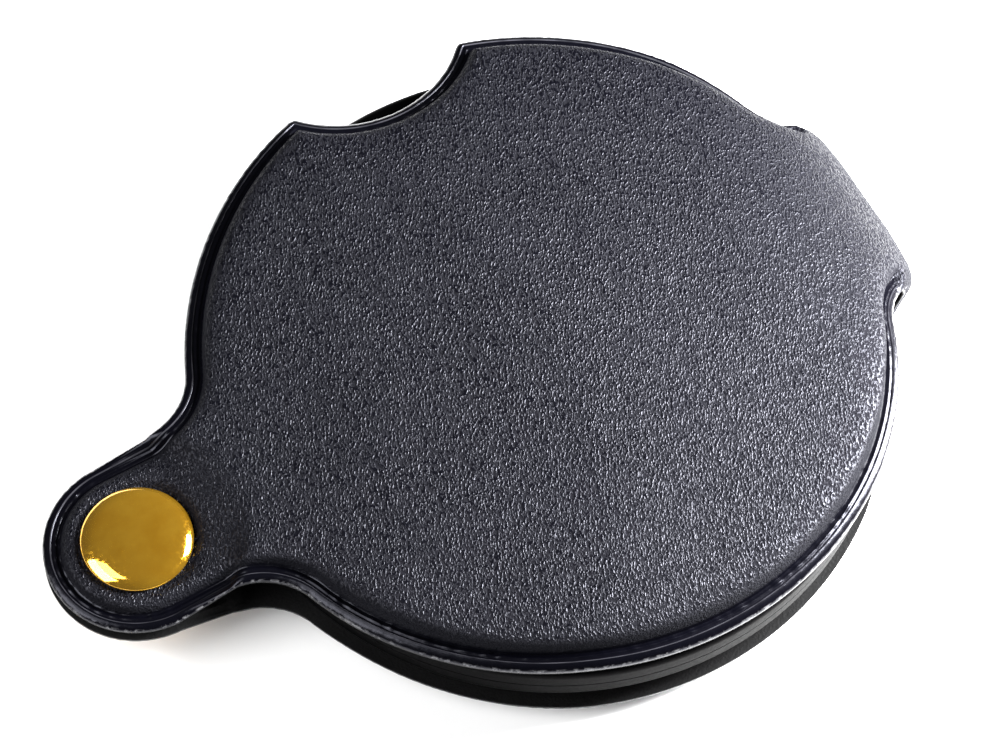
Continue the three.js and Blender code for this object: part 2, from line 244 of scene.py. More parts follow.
def outline(step):
    """The strip's cut edge up to the middle of the fold, clockwise, in pattern places."""
    neck_y = EAR_RADIUS + NECK_FILLET
    neck_x = RIVET_OFFSET - math.sqrt((DISC_RADIUS + NECK_FILLET) ** 2 - neck_y**2)
    neck_angle = math.atan2(neck_y, neck_x - RIVET_OFFSET)
    flare_y = FOLD_HALF_WIDTH + FLARE_FILLET
    flare_x = RIVET_OFFSET + math.sqrt((DISC_RADIUS + FLARE_FILLET) ** 2 - flare_y**2)
    flare_angle = math.atan2(flare_y, flare_x - RIVET_OFFSET)
    quarter = math.pi / 2

    # Where the notch's rounded corners touch the disc and the notch.
    inner, outer = DISC_RADIUS - NOTCH_CORNER, NOTCH_RADIUS + NOTCH_CORNER
    spread = math.acos((inner**2 + NOTCH_OFFSET**2 - outer**2) / (2 * inner * NOTCH_OFFSET))
    notch = Vector((math.cos(NOTCH_ANGLE), math.sin(NOTCH_ANGLE))) * NOTCH_OFFSET
    left, right = NOTCH_ANGLE + spread, NOTCH_ANGLE - spread
    left_corner = Vector((math.cos(left), math.sin(left))) * inner
    right_corner = Vector((math.cos(right), math.sin(right))) * inner
    to_left = left_corner - notch
    to_right = right_corner - notch
    left_end = math.atan2(to_left.y, to_left.x) + 2 * math.pi
    right_end = math.atan2(to_right.y, to_right.x) + 2 * math.pi

    x0, r = RIVET_OFFSET, DISC_RADIUS
    left_x, left_y = x0 + left_corner.x, left_corner.y
    right_x, right_y = x0 + right_corner.x, right_corner.y
    fine = step / 2
    lower = [
        arc(flare_x, -flare_y, FLARE_FILLET, quarter, math.pi - flare_angle, step),
        arc(x0, 0, r, -flare_angle, -neck_angle, step),
        arc(neck_x, -neck_y, NECK_FILLET, math.pi - neck_angle, quarter, step),
        arc(0, 0, EAR_RADIUS, 3 * quarter, quarter, step),
    ]
    upper = [
        arc(neck_x, neck_y, NECK_FILLET, -quarter, neck_angle - math.pi, step),
        arc(x0, 0, r, neck_angle, left, step),
        arc(left_x, left_y, NOTCH_CORNER, left, left_end - math.pi, fine),
        arc(x0 + notch.x, notch.y, NOTCH_RADIUS, left_end, right_end, step),
        arc(right_x, right_y, NOTCH_CORNER, right_end - math.pi, right, fine),
        arc(x0, 0, r, right, flare_angle, step),
        arc(flare_x, flare_y, FLARE_FILLET, flare_angle - math.pi, -quarter, step),
    ]
    points = np.concatenate(lower + upper)
    nose_x = FOLD_START + _arc_x[-1]
    points = points[points[:, 0] < nose_x - HAIR]
    points[:, 0] = along_from_x(points[:, 0])
    start, end = points[0], points[-1]
    first, last = (FOLD_MIDDLE, start[1] + HAIR), (FOLD_MIDDLE, end[1] - HAIR)
    return np.concatenate([[first], points, [last]])


def edge_distance(points, edge):
    """Distance of each point from the cut edge, and how far along the edge that is."""
    start, step = edge[:-1], np.diff(edge, axis=0)
    length = np.hypot(step[:, 0], step[:, 1])
    before = np.concatenate([[0.0], np.cumsum(length)[:-1]])
    distance, along = np.empty(len(points)), np.empty(len(points))
    for low in range(0, len(points), 2000):
        chunk = points[low : low + 2000, None, :]
        t = np.clip(((chunk - start) * step).sum(axis=2) / length**2, 0.0, 1.0)
        foot = start + t[:, :, None] * step
        gaps = np.sqrt(((chunk - foot) ** 2).sum(axis=2))
        nearest = gaps.argmin(axis=1)
        rows = np.arange(len(nearest))
        distance[low : low + 2000] = gaps[rows, nearest]
        along[low : low + 2000] = before[nearest] + t[rows, nearest] * length[nearest]
    return distance, along


def inset_loop(edge, distance):
    """The cut edge moved inwards, ending on the middle of the fold."""
    tangent = np.gradient(edge, axis=0)
    tangent /= np.linalg.norm(tangent, axis=1)[:, None]
    inward = np.stack([tangent[:, 1], -tangent[:, 0]], axis=1)
    moved = edge + inward * distance
    moved[0] = (FOLD_MIDDLE, edge[0, 1] + distance)
    moved[-1] = (FOLD_MIDDLE, edge[-1, 1] - distance)
    keep = edge_distance(moved, edge)[0] > distance - HAIR
    keep &= moved[:, 0] <= FOLD_MIDDLE + 1e-9
    keep[0] = keep[-1] = True
    return moved[keep]


def inside(points, polygon):
    """Whether each point is inside a closed polygon."""
    result = np.zeros(len(points), bool)
    following = np.roll(polygon, -1, axis=0)
    for (x0, y0), (x1, y1) in zip(polygon, following):
        if y0 == y1:
            continue
        crosses = (points[:, 1] >= min(y0, y1)) & (points[:, 1] < max(y0, y1))
        at = x0 + (points[:, 1] - y0) * (x1 - x0) / (y1 - y0)
        result ^= crosses & (points[:, 0] < at)
    return result


def hexagonal_grid(low, high, spacing):
    rows = np.arange(low[1], high[1], spacing * math.sqrt(0.75))
    points = []
    for k, y in enumerate(rows):
        x = np.arange(low[0] + (k % 2) * spacing / 2, high[0], spacing)
        points.append(np.stack([x, np.full_like(x, y)], axis=1))
    return np.concatenate(points)


def triangulate(points, edges, edge):
    """Places and triangles inside a closed edge and outside the rivet's hole."""
    verts, _, faces, *_ = delaunay_2d_cdt(points, edges, [], 1, 1e-5, False)
    places = np.array([(v.x, v.y) for v in verts])
    faces = np.array([f for f in faces if len(f) == 3])
    centres = places[faces].mean(axis=1)
    off_hole = np.hypot(centres[:, 0], centres[:, 1]) > RIVET_HOLE * 0.999
    faces = faces[inside(centres, edge) & off_hole]
    used = np.unique(faces)
    renumber = np.full(len(places), -1)
    renumber[used] = np.arange(len(used))
    return places[used], renumber[faces]


def mesh_pattern(step, insets, spacing, fine_spacing, rings=()):
    """Triangles over half of the strip: pattern places, triangles, and for each place
    its distance from the cut edge and how far along the edge it is."""
    edge = outline(step)
    loops = [edge] + [inset_loop(edge, d) for d in insets]
    hole = circle(RIVET_HOLE, HOLE_SIDES)
    last = insets[-1]

    def curved(places):
        near_rivet = np.hypot(places[:, 0], places[:, 1]) < SWELL_END
        return (places[:, 0] > FOLD_START + 4) | near_rivet

    low, high = edge.min(axis=0), edge.max(axis=0)
    coarse = hexagonal_grid(low, high, spacing)
    fine = hexagonal_grid(low, high, fine_spacing)
    fill = np.concatenate([coarse[~curved(coarse)], fine[curved(fine)]])
    fill = fill[fill[:, 0] < FOLD_MIDDLE - MIDDLE_CLEAR]
    fill = fill[inside(fill, edge)]
    fill = fill[edge_distance(fill, edge)[0] > last + fine_spacing * 0.6]
    radius = np.hypot(fill[:, 0], fill[:, 1])
    clear = radius > RIVET_HOLE + HOLE_CLEAR
    if rings:
        clear &= (radius < rings[0] - RING_CLEAR) | (radius > rings[-1] + RING_CLEAR)
    fill = fill[clear]
    round_cap = [arc(0, 0, ring, 0, 2 * math.pi, RING_STEP) for ring in rings]
    half_width = edge[-1, 1] - last
    middle_count = int(2 * half_width / fine_spacing)
    middle_y = np.linspace(-half_width, half_width, middle_count + 1)[1:-1]
    middle_line = np.stack([np.full_like(middle_y, FOLD_MIDDLE), middle_y], axis=1)

    points, edges = [], []
    for loop in loops:
        first = len(points)
        points.extend(map(Vector, loop.tolist()))
        edges.extend((first + k, first + k + 1) for k in range(len(loop) - 1))
    first = len(points)
    points.extend(map(Vector, hole.tolist()))
    edges.extend((first + k, first + (k + 1) % len(hole)) for k in range(len(hole)))
    for places in [fill, *round_cap, middle_line]:
        points.extend(map(Vector, places.tolist()))
    # The middle of the fold closes the outline, through every point that lies on it.
    on_middle = [k for k, p in enumerate(points) if abs(p.x - FOLD_MIDDLE) < ON_MIDDLE]
    on_middle.sort(key=lambda k: points[k].y)
    edges.extend(zip(on_middle[:-1], on_middle[1:]))

    places, faces = triangulate(points, edges, edge)
    return places, faces, *edge_distance(places, edge)


def boundary_edges(faces):
    """Directed edges that only one triangle has."""
    seen = set()
    for a, b, c in faces.tolist():
        for edge in ((a, b), (b, c), (c, a)):
            if (edge[1], edge[0]) in seen:
                seen.discard((edge[1], edge[0]))
            else:
                seen.add(edge)
    return seen


def make_mesh(name, verts, faces, smooth_angle=40.0):
    """An object from places about the rivet axis in millimetres."""
    mesh = bpy.data.meshes.new(name)
    mesh.from_pydata([tuple(v) for v in verts], [], [tuple(f) for f in faces])
    mesh.transform(Matrix.Translation(RIVET) @ Matrix.Scale(MM, 4))
    work = bmesh.new()
    work.from_mesh(mesh)
    bmesh.ops.remove_doubles(work, verts=work.verts, dist=1e-7)
    bmesh.ops.recalc_face_normals(work, faces=work.faces)
    work.to_mesh(mesh)
    work.free()
    mesh.shade_smooth()
    mesh.set_sharp_from_angle(angle=math.radians(smooth_angle))
    piece = bpy.data.objects.new(name, mesh)
    bpy.context.scene.collection.objects.link(piece)
    return piece


def folded_sheet(name, pattern, outer_level, inner_level):
    """A closed sheet bent into both leaves and the fold between them."""
    places, faces, *_ = pattern
    outer = bend(places[:, 0], places[:, 1], outer_level)
    inner = bend(places[:, 0], places[:, 1], inner_level)
    count = len(places)
    shell = np.concatenate([faces, faces[:, ::-1] + count])
    on_middle = abs(places[:, 0] - FOLD_MIDDLE) < ON_MIDDLE
    walls = []
    for a, b in boundary_edges(faces):
        if not (on_middle[a] and on_middle[b]):
            walls.append((a, a + count, b + count, b))
    upper = np.concatenate([outer, inner])
    lower = upper * (1, 1, -1)
    verts = np.concatenate([upper, lower])
    polygons = [tuple(f) for f in shell.tolist()] + walls
    polygons += [tuple(2 * count + k for k in reversed(f)) for f in polygons]
    return make_mesh(name, verts, polygons)


# ------------------------------------------------------------------ relief of the skin

WAVES = 24


def wave(places, seed, wavelength):
    """Smooth irregular relief between about -1 and 1, from a few crossed waves."""
    rng = np.random.default_rng(seed)
    total = np.zeros(len(places))
    for _ in range(WAVES):
        angle = rng.uniform(0, 2 * math.pi)
        pitch = wavelength * rng.uniform(0.7, 1.5)
        phase = rng.uniform(0, 2 * math.pi)
        direction = np.array([math.cos(angle), math.sin(angle)])
        total += np.sin(2 * math.pi * (places @ direction) / pitch + phase)
    return total / math.sqrt(WAVES)


def ripple(along, seed, pitch):
    """Irregular relief along the edge between about -1 and 1."""
    return wave(np.column_stack([along, np.zeros_like(along)]), seed, pitch)


def read(table, value):
    steps, levels = zip(*table)
    return np.interp(value, steps, levels)


def droop(pattern):
    """How far the border leans towards the other leaf at each place."""
    places, _, distance, _ = pattern
    radius = np.hypot(places[:, 0], places[:, 1])
    lean = np.clip(1 - distance / DROOP_WIDTH, 0, 1) ** 2
    free = 1 - smooth(FOLD_START, FOLD_START + 6, places[:, 0])
    return EDGE_DROOP * lean * smooth(DROOP_START, DROOP_FULL, radius) * free


CUT_ROUGHNESS = 0.035     # height of the ripples along the cut edge
PUCKER = 0.03             # height of the puckers in the groove
SAG = 0.03                # slow unevenness of the panel
PRESSED_FROM, PRESSED_TO = CAP_RADIUS + 0.12, CAP_RADIUS + 0.9


def skin_relief(pattern):
    """Height of the skin's outer face above the lining's inner face."""
    places, _, distance, along = pattern
    radius = np.hypot(places[:, 0], places[:, 1])
    panel = PANEL_AT_RIVET + PANEL_SWELL * smooth(SWELL_START, SWELL_END, radius)
    groove_at, groove = BORDER[-2]
    border = read(BORDER, np.minimum(distance, groove_at))
    embossed = border + (panel - groove) * read(SHOULDER, distance)
    at_cut = 1 - smooth(0.0, 0.3, distance)
    in_groove = smooth(0.8, 1.1, distance) * (1 - smooth(1.4, 1.8, distance))
    rough_edge = CUT_ROUGHNESS * ripple(along, 8, 0.8) * at_cut
    puckers = PUCKER * ripple(along, 21, 1.3) * in_groove
    embossed += rough_edge + puckers
    across_fold = fold_share(places[:, 0])
    relief = embossed * (1 - across_fold) + read(PLAIN_EDGE, distance) * across_fold
    # The panel sinks under the cap and swells round it.
    pressed = CAP_BASE - HAIR - gap(places[:, 0], places[:, 1])
    free = smooth(PRESSED_FROM, PRESSED_TO, radius)
    sunk = relief * free + np.minimum(pressed, relief) * (1 - free)
    relief = np.where(radius < PRESSED_TO + 0.1, sunk, relief)
    relief += SAG * wave(places, 3, 14.0) * smooth(3.0, 6.0, distance) * smooth(9, 16, radius)
    return relief - droop(pattern)


INSETS = [distance for distance, _ in BORDER[1:-1] + SHOULDER[1:]]
RINGS = (4.7, 4.95, 5.12, 5.3, 5.5, 5.7, 5.95)
SKIN_PATTERN = mesh_pattern(0.22, INSETS, 0.9, 0.5, RINGS)
skin_outer = skin_relief(SKIN_PATTERN)
skin_lean = droop(SKIN_PATTERN)
skin_floor = read(SKIN_UNDERSIDE, SKIN_PATTERN[2]) - skin_lean
skin_inner = np.maximum(skin_floor, skin_outer - SKIN_THICKNESS)
cover = folded_sheet("leatherette_cover", SKIN_PATTERN, skin_outer, skin_inner)

LINING_PATTERN = mesh_pattern(0.4, [0.06, 0.2, 0.8, 1.6], 1.3, 0.6)
lining_lean = droop(LINING_PATTERN)
lining_outer = read(LINING_OUTSIDE, LINING_PATTERN[2]) - lining_lean
lining_inner = read(LINING_INSIDE, LINING_PATTERN[2]) - lining_lean
backing = folded_sheet("sleeve_backing", LINING_PATTERN, lining_outer, lining_inner)

# ------------------------------------------------------------------ turned pieces


def turned(name, profile, segments, centre=(0.0, 0.0), angle=35.0):
    """A closed solid turned about a vertical axis from [radius, height] points."""
    verts, rings = [], []
    for radius, height in profile:
        if radius < 1e-6:
            rings.append([len(verts)] * segments)
            verts.append((centre[0], centre[1], height))
            continue
        rings.append(list(range(len(verts), len(verts) + segments)))
        for k in range(segments):
            turn = 2 * math.pi * k / segments
            verts.append(
                (centre[0] + radius * math.cos(turn), centre[1] + radius * math.sin(turn), height)
            )
    faces = []
    pairs = list(zip(rings[:-1], rings[1:]))
    if profile[0][0] > 1e-6:
        pairs.append((rings[-1], rings[0]))
    for lower, upper in pairs:
        for k in range(segments):
            quad = (lower[k], lower[(k + 1) % segments], upper[(k + 1) % segments], upper[k])
            corners = list(dict.fromkeys(quad))
            if len(corners) > 2:
                faces.append(tuple(corners))
    return make_mesh(name, verts, faces, angle)


def rounded(corner_radius, centre, start, end, count=8):
    """Profile points round a corner, angles in degrees."""
    turns = np.radians(np.linspace(start, end, count))
    return [
        (centre[0] + corner_radius * math.cos(t), centre[1] + corner_radius * math.sin(t))
        for t in turns
    ]


def cap_profile(sign):
    """A spun cap: shallow dome, softer shoulder, rolled rim, open underneath."""
    height, rim, shell = 1.15, 0.24, 0.25
    shoulder, dome_tilt, shoulder_tilt = 3.4, 9.0, 34.0
    edge = CAP_RADIUS - rim
    radii = np.concatenate([np.linspace(0, shoulder, 14), np.linspace(3.5, edge, 16)])
    past_shoulder = np.clip((radii - shoulder) / (edge - shoulder), 0, 1)
    tilt = dome_tilt * radii / shoulder + shoulder_tilt * past_shoulder**1.6
    slope = np.tan(np.radians(tilt))
    fall = np.concatenate([[0], np.cumsum(np.diff(radii) * (slope[1:] + slope[:-1]) / 2)])
    outside = list(zip(radii, height - fall))
    lean = math.radians(tilt[-1])
    middle = (edge - rim * math.sin(lean), outside[-1][1] - rim * math.cos(lean))
    outside = outside[:-1] + rounded(rim, middle, 90 - tilt[-1], -75, 12)
    outside = [(r * CAP_RADIUS / (middle[0] + rim), z) for r, z in outside]
    low = outside[-1][1]
    outside += [(edge, low), (edge - 0.05, low + 0.1)]
    under = [(r, z - shell) for r, z in zip(radii[:-4], height - fall[:-4])][::-2]
    lift = -low
    return [(r, sign * (CAP_BASE + z + lift)) for r, z in outside + under + [(0.0, height - shell)]]


upper_cap = turned("gilt_cap_upper", cap_profile(1), 128)
lower_cap = turned("gilt_cap_lower", cap_profile(-1), 128)

# ------------------------------------------------------------------ lens and frame

LENS_CENTRE = (
    RIVET_OFFSET * math.cos(CLOSED_ANGLE),
    RIVET_OFFSET * math.sin(CLOSED_ANGLE),
)
FRAME_RADIUS = 31.2
FRAME_HALF = 2.4
APERTURE = 25.0
LENS_RADIUS = 25.9
LENS_EDGE = 0.75
LENS_CURVATURE = 140.0
SEAT = 1.0
RETAINER = 27.3
POCKET = 0.2              # play round the lens and the retaining ring
LIP_ROUNDING = 0.6
PARTING_DEPTH, PARTING_FLOOR, PARTING_MOUTH = 0.05, 0.03, 0.07
ARM_TAB = 4.6
ARM_ROOT_WIDTH = 15.0
ARM_OVERLAP = 3           # how far the arm reaches into the ring
ARM_HALF, ARM_ROOT_HALF = 0.6, 2.0
ARM_RISE_START, ARM_RISE_END = 8.6, 11.6
ARM_ROUNDING, ARM_CORNER = 0.3, 0.22


def ring_profile():
    """Section of the lens ring: rounded outside with a fine parting line, a seat under
    the lens and a recess above it for the retaining ring."""
    r, h = FRAME_RADIUS, FRAME_HALF
    outer = rounded(1.0, (r - 1.0, h - 1.0), 0, 90, 10)
    groove = r - PARTING_DEPTH
    profile = [(r, -PARTING_MOUTH), (groove, -PARTING_FLOOR)]
    profile += [(groove, PARTING_FLOOR), (r, PARTING_MOUTH)]
    profile += outer
    profile += [(RETAINER + 0.2, h), (RETAINER, h - 0.2), (RETAINER, SEAT)]
    profile += [(LENS_RADIUS + POCKET, SEAT), (LENS_RADIUS + POCKET, -SEAT), (APERTURE, -SEAT)]
    lip = (APERTURE + LIP_ROUNDING, -h + LIP_ROUNDING)
    profile += rounded(LIP_ROUNDING, lip, 180, 270, 6)
    profile += [(radius, -height) for radius, height in reversed(outer)]
    return profile


def retainer_profile():
    """Section of the retaining ring, chamfered outside and rounded at the lip."""
    inner, outer, low, high = APERTURE, RETAINER - POCKET, SEAT + 0.05, FRAME_HALF - 0.1
    profile = [(inner, low), (outer, low), (outer, high - 0.15), (outer - 0.15, high)]
    lip = (inner + LIP_ROUNDING, high - LIP_ROUNDING)
    return profile + rounded(LIP_ROUNDING, lip, 90, 180, 6)


def lens_profile():
    """Section of the biconvex lens, with its edge chamfered."""

    def sag(r):
        return LENS_CURVATURE - math.sqrt(LENS_CURVATURE**2 - r**2)

    def face(radius):
        return LENS_EDGE + sag(LENS_RADIUS) - sag(radius)

    radii = np.linspace(0, LENS_RADIUS - 0.12, 28)
    upper = [(r, face(r)) for r in radii]
    lower = [(r, -z) for r, z in upper]
    edge = [(LENS_RADIUS, -LENS_EDGE + 0.1), (LENS_RADIUS, LENS_EDGE - 0.1)]
    return lower + edge + upper[::-1]


def arm_mesh():
    """The tab round the rivet, thin between the leaves and thicker towards the ring."""
    tab, root_half = ARM_TAB, ARM_ROOT_WIDTH / 2
    root = RIVET_OFFSET - FRAME_RADIUS + ARM_OVERLAP
    corner = math.hypot(root, root_half)
    tangent = math.atan2(root_half, root) + math.acos(tab / corner)
    touch = (tab * math.cos(tangent), tab * math.sin(tangent))
    side = np.linspace((root, root_half), touch, 24, endpoint=False)
    edge = [(x, -y) for x, y in side]
    turns = np.linspace(-tangent, -2 * math.pi + tangent, 60)
    edge += [(tab * math.cos(t), tab * math.sin(t)) for t in turns]
    edge += [(x, y) for x, y in side[::-1]]
    edge = np.array(edge)
    closed = np.concatenate([edge, edge[:1]])
    grid = hexagonal_grid((-tab, -root_half), (root, root_half), 0.5)
    spare = inside(grid, edge) & (edge_distance(grid, closed)[0] > ARM_ROUNDING)
    fill = grid[spare & (np.hypot(grid[:, 0], grid[:, 1]) > RIVET_HOLE + 0.35)]
    points = np.concatenate([edge, circle(RIVET_HOLE, HOLE_SIDES), fill])
    count = len(edge)
    edges = [(k, (k + 1) % count) for k in range(count)]
    edges += [(count + k, count + (k + 1) % HOLE_SIDES) for k in range(HOLE_SIDES)]
    places, faces = triangulate([Vector(p) for p in points.tolist()], edges, edge)
    distance, _ = edge_distance(places, closed)
    radius = np.hypot(places[:, 0], places[:, 1])
    half = ARM_HALF + (ARM_ROOT_HALF - ARM_HALF) * smooth(ARM_RISE_START, ARM_RISE_END, radius)
    # The corners are rounded over.
    short = 1 - np.clip(distance / ARM_ROUNDING, 0, 1)
    half = half - ARM_CORNER * (1 - np.sqrt(np.clip(1 - short**2, 0, 1)))
    turn = Matrix.Rotation(CLOSED_ANGLE, 2)
    flat = places @ np.array(turn).T
    upper = np.column_stack([flat, half])
    lower = np.column_stack([flat, -half])
    count = len(places)
    polygons = [tuple(f) for f in faces.tolist()]
    polygons += [tuple(k + count for k in reversed(f)) for f in faces.tolist()]
    polygons += [(a, a + count, b + count, b) for a, b in boundary_edges(faces)]
    return make_mesh("frame_arm", np.concatenate([upper, lower]), polygons)


def unite(target, tool):
    """Adds one closed piece to another with a boolean, applied to the mesh."""
    modifier = target.modifiers.new("unite", "BOOLEAN")
    modifier.operation = "UNION"
    modifier.solver = "EXACT"
    modifier.object = tool
    graph = bpy.context.evaluated_depsgraph_get()
    mesh = bpy.data.meshes.new_from_object(target.evaluated_get(graph))
    target.modifiers.clear()
    target.data = mesh
    bpy.data.objects.remove(tool)


ring = turned("lens_ring", ring_profile(), 256, LENS_CENTRE)
unite(ring, arm_mesh())
ring.data.set_sharp_from_angle(angle=math.radians(35))
retainer = turned("lens_retainer", retainer_profile(), 256, LENS_CENTRE)
glass = turned("magnifying_lens", lens_profile(), 192, LENS_CENTRE, 25.0)

# ------------------------------------------------------------------ materials


class Nodes:
    """Short calls for a material's node tree."""

    def __init__(self, name):
        self.material = bpy.data.materials.new(name)
        self.material.use_nodes = True
        self.tree = self.material.node_tree
        self.shader = self.tree.nodes["Principled BSDF"]
        coordinates = self.add("ShaderNodeTexCoord").outputs
        self.place, self.object_normal = coordinates["Object"], coordinates["Normal"]

    def add(self, kind, **values):
        node = self.tree.nodes.new(kind)
        for key, value in values.items():
            setattr(node, key, value)
        return node

    def link(self, source, target):
        self.tree.links.new(source, target)

    def noise(self, scale, detail=2.0, roughness=0.5, distortion=0.0, place=None):
        node = self.add("ShaderNodeTexNoise")
        node.inputs["Scale"].default_value = scale
        node.inputs["Detail"].default_value = detail
        node.inputs["Roughness"].default_value = roughness
        node.inputs["Distortion"].default_value = distortion
        self.link(place or self.place, node.inputs["Vector"])
        return node

    def along_grain(self, direction, stretch):
        """Object places drawn out along a level direction, given as an angle in degrees."""
        node = self.add("ShaderNodeMapping", vector_type="TEXTURE")
        node.inputs["Rotation"].default_value = (0.0, 0.0, math.radians(direction))
        node.inputs["Scale"].default_value = (stretch, 1.0, 1.0)
        self.link(self.place, node.inputs["Vector"])
        return node.outputs[0]

    def math(self, operation, a, b=None):
        node = self.add("ShaderNodeMath", operation=operation)
        for socket, value in zip(node.inputs, (a, b)):
            if value is None:
                continue
            if isinstance(value, (int, float)):
                socket.default_value = value
            else:
                self.link(value, socket)
        return node.outputs[0]

    def attribute(self, name):
        return self.add("ShaderNodeAttribute", attribute_name=name).outputs["Fac"]

    def add_scaled(self, value, base, scale):
        """base + value * scale"""
        node = self.add("ShaderNodeMath", operation="MULTIPLY_ADD")
        self.link(value, node.inputs[0])
        node.inputs[1].default_value = scale
        self.link(base, node.inputs[2])
        return node.outputs[0]

    def mix_value(self, factor, a, b):
        node = self.add("ShaderNodeMix", data_type="FLOAT")
        self.link(factor, node.inputs[0])
        for socket, value in ((node.inputs[2], a), (node.inputs[3], b)):
            if isinstance(value, float):
                socket.default_value = value
            else:
                self.link(value, socket)
        return node.outputs[0]

    def ramp(self, value, low, high, to_low=0.0, to_high=1.0):
        node = self.add("ShaderNodeMapRange")
        node.inputs["From Min"].default_value = low
        node.inputs["From Max"].default_value = high
        node.inputs["To Min"].default_value = to_low
        node.inputs["To Max"].default_value = to_high
        self.link(value, node.inputs["Value"])
        return node.outputs["Result"]

    def mix_color(self, factor, a, b):
        node = self.add("ShaderNodeMix", data_type="RGBA")
        for socket, value in ((node.inputs[6], a), (node.inputs[7], b)):
            if isinstance(value, tuple):
                socket.default_value = value + (1.0,)
            else:
                self.link(value, socket)
        self.link(factor, node.inputs[0])
        return node.outputs[2]

    def bump(self, height, distance, normal=None):
        node = self.add("ShaderNodeBump")
        node.inputs["Strength"].default_value = 1.0
        node.inputs["Distance"].default_value = distance
        self.link(height, node.inputs["Height"])
        if normal is not None:
            self.link(normal, node.inputs["Normal"])
        return node.outputs["Normal"]

    def set(self, **values):
        for key, value in values.items():
            socket = self.shader.inputs[key.replace("_", " ")]
            if isinstance(value, (int, float)):
                socket.default_value = value
            elif isinstance(value, tuple):
                socket.default_value = value + (1.0,)
            else:
                self.link(value, socket)


SAME_PLACE = 0.004        # a mesh point this near a pattern place is that place
INNER_RIM = 1.0           # stands for the distance from the edge on the hidden inner face


def store_pattern(piece, pattern, outer):
    """Keeps two values of the pattern on the bent mesh for the material: how much of
    the grain shows, and the distance from the cut edge."""
    places, _, distance, _ = pattern
    grain = np.maximum(smooth(1.5, 1.75, distance), fold_share(places[:, 0]))
    bent = bend(places[:, 0], places[:, 1], outer)
    tree = KDTree(len(bent))
    for row, point in enumerate(bent.tolist()):
        tree.insert(point, row)
    tree.balance()
    to_pattern = Matrix.Scale(1 / MM, 4) @ Matrix.Translation(-RIVET)
    rows = []
    for vertex in piece.data.vertices:
        x, y, z = to_pattern @ vertex.co
        _, row, miss = tree.find((x, y, abs(z)))
        rows.append(row if miss < SAME_PLACE else -1)
    rows = np.array(rows)
    for name, values, hidden in (("grain", grain, 0.0), ("rim", distance, INNER_RIM)):
        attribute = piece.data.attributes.new(name, "FLOAT", "POINT")
        attribute.data.foreach_set("value", np.where(rows < 0, hidden, values[rows]))


GRAIN_DIRECTION = 62.0    # degrees from the sleeve's long axis
GRAIN_STRETCH = 1.7
CREST = 0.68              # distance from the cut edge of the crest with the painted highlight line
DULL = 0.95


def leatherette():
    """Embossed grain on the panel; the welded border glossy, with wear marks and painted highlight
    lines along the cut edge and the crest.
    """
    n = Nodes("leatherette")
    mask = n.attribute("grain")
    rim = n.attribute("rim")

    stretched = n.along_grain(GRAIN_DIRECTION, GRAIN_STRETCH)
    wrinkles = n.noise(5300, 0.0, 0.5, 0.6, stretched)
    warp = n.noise(1500, 2.0)
    shift = n.add("ShaderNodeVectorMath", operation="MULTIPLY_ADD")
    n.link(warp.outputs["Color"], shift.inputs[0])
    shift.inputs[1].default_value = (0.0003, 0.0003, 0.0003)
    n.link(stretched, shift.inputs[2])
    cells = n.add("ShaderNodeTexVoronoi", feature="SMOOTH_F1")
    cells.inputs["Scale"].default_value = 3600
    cells.inputs["Smoothness"].default_value = 0.4
    n.link(shift.outputs[0], cells.inputs["Vector"])
    pebble = n.ramp(cells.outputs["Distance"], 0.15, 0.75, 1.0, 0.0)
    ridge = n.ramp(wrinkles.outputs["Fac"], 0.32, 0.66)
    height = n.add_scaled(pebble, n.math("MULTIPLY", ridge, 0.7), 0.3)
    grain = n.math("MULTIPLY", height, mask)
    smear = n.noise(700, 3.0)
    ripple = n.math("MULTIPLY", smear.outputs["Fac"], n.math("SUBTRACT", 1.0, mask))
    normal = n.bump(grain, 0.000085)
    normal = n.bump(ripple, 0.00005, normal)

    patch = n.noise(120, 3.0)
    color = n.mix_color(patch.outputs["Fac"], (0.0005, 0.0005, 0.0011), (0.0011, 0.0011, 0.0022))
    # Paler dots along the cut edge here and there: partly wear that bares paler plastic, partly a
    # painted highlight on the edge.
    wear_and_glint_dots = n.ramp(n.noise(1700, 2.0, 0.6).outputs["Fac"], 0.5, 0.64)
    edge_wear_and_highlight = n.math("MULTIPLY", wear_and_glint_dots, n.ramp(rim, 0.16, 0.06))
    color = n.mix_color(n.math("MULTIPLY", edge_wear_and_highlight, 0.8), color, (0.10, 0.10, 0.105))
    # The crest beside the crease is rubbed thin and pale all the way round.
    # A pale line painted all the way round on the crest beside the crease, as a painted highlight;
    # noise breaks it up unevenly.
    beside = n.math("ABSOLUTE", n.math("SUBTRACT", rim, CREST))
    painted_crest_highlight = n.math("MULTIPLY", n.ramp(beside, 0.07, 0.02), n.math("SUBTRACT", 1.0, mask))
    uneven = n.ramp(n.noise(500, 2.0).outputs["Fac"], 0.3, 0.65, 0.15, 0.6)
    painted_crest_highlight = n.math("MULTIPLY", painted_crest_highlight, uneven)
    color = n.mix_color(painted_crest_highlight, color, (0.05, 0.05, 0.058))
    panel_rough = n.ramp(patch.outputs["Fac"], 0.3, 0.7, 0.27, 0.33)
    # The creases between the pebbles are dull, and so is the skin stretched round the fold.
    upright = n.add("ShaderNodeSeparateXYZ")
    n.link(n.object_normal, upright.inputs[0])
    flatness = n.ramp(n.math("ABSOLUTE", upright.outputs["Z"]), 0.45, 0.96)
    panel_rough = n.mix_value(n.ramp(height, 0.28, 0.66), DULL, panel_rough)
    panel_rough = n.mix_value(flatness, DULL, panel_rough)
    n.set(
        Base_Color=color,
        Roughness=n.mix_value(mask, 0.22, panel_rough),
        Normal=normal,
        Specular_IOR_Level=0.165,
        Specular_Tint=(0.84, 0.85, 1.0),
    )
    return n.material


